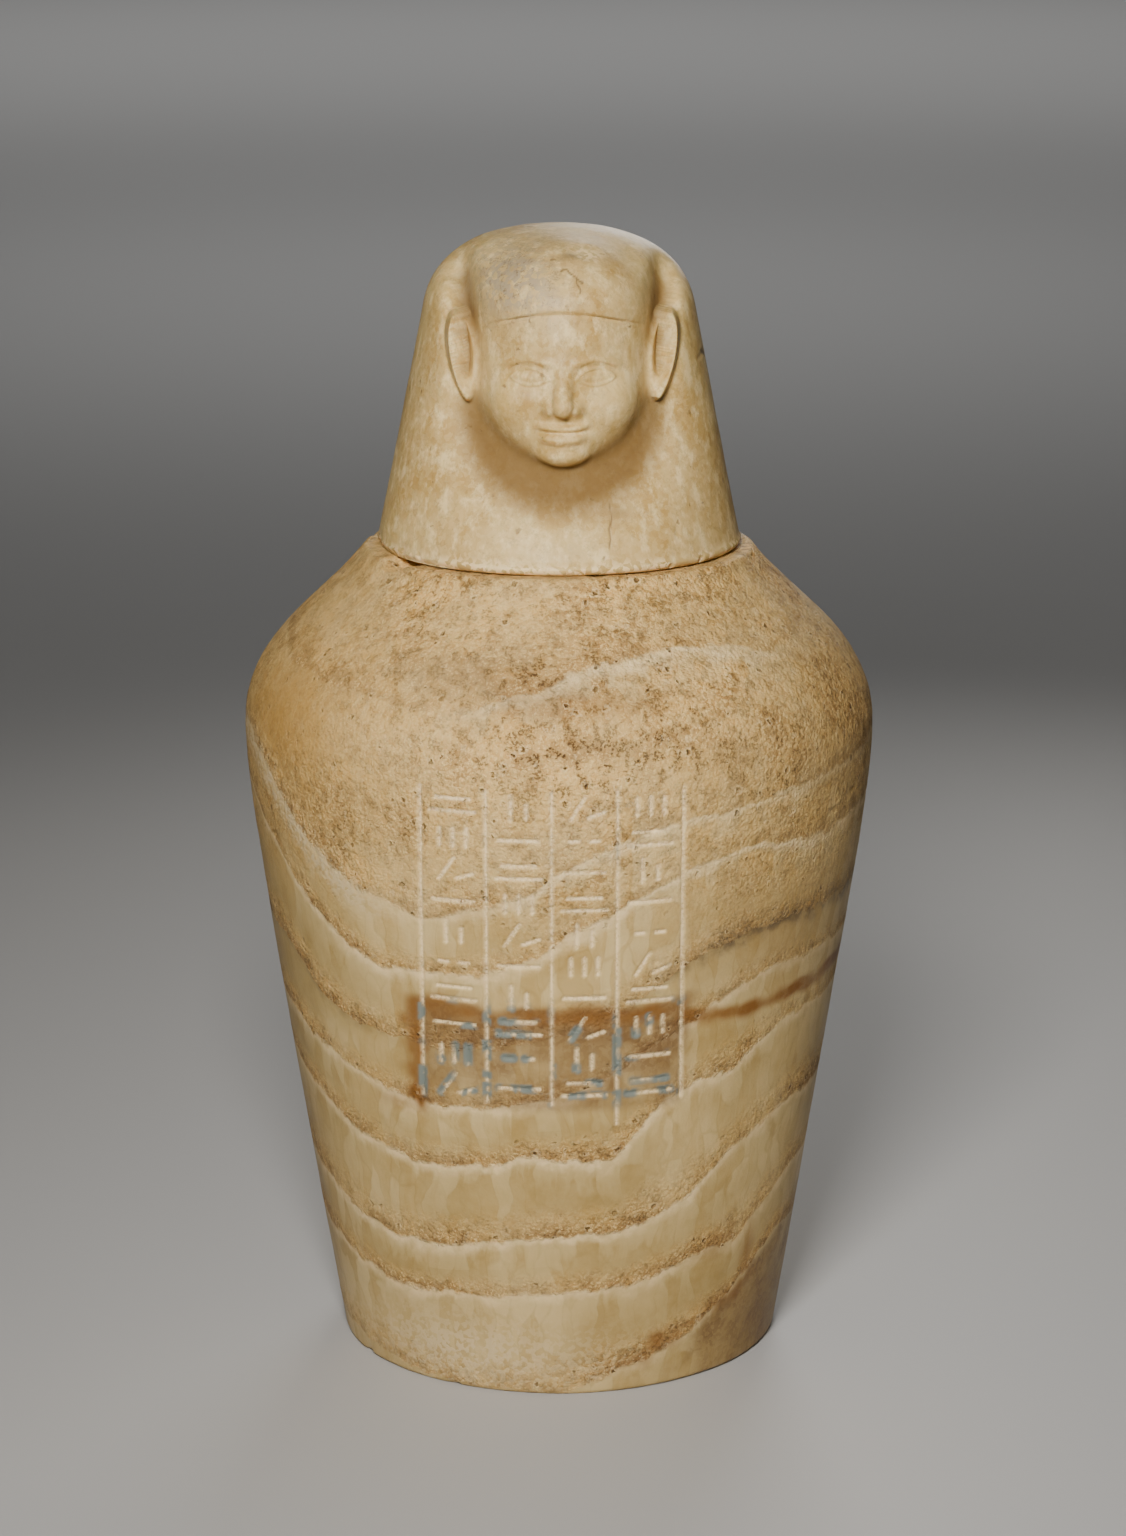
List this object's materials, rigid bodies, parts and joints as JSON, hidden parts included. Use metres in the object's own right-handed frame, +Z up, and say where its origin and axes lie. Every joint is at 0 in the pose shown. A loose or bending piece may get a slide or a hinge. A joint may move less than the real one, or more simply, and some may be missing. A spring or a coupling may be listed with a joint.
{
  "type": "canopic jar",
  "caption": "Tall hollow stone jar with a broad shoulder, under a lid carved as a head in a plain headcloth, with a panel of incised strokes.",
  "frame": {"origin": "middle of the flat underside", "axes": "+Z up along the jar's axis, the face and the panel of strokes look along -Y, +X to the right as seen from the front"},
  "size_m": [0.222, 0.222, 0.3993],
  "materials": {
    "jar_stone": "banded travertine, worn semi-polish",
    "lid_stone": "mottled travertine, worn semi-polish"
  },
  "bodies": {
    "root": {"jar_body": "jar_stone", "lid": "lid_stone"}
  },
  "joints": []
}
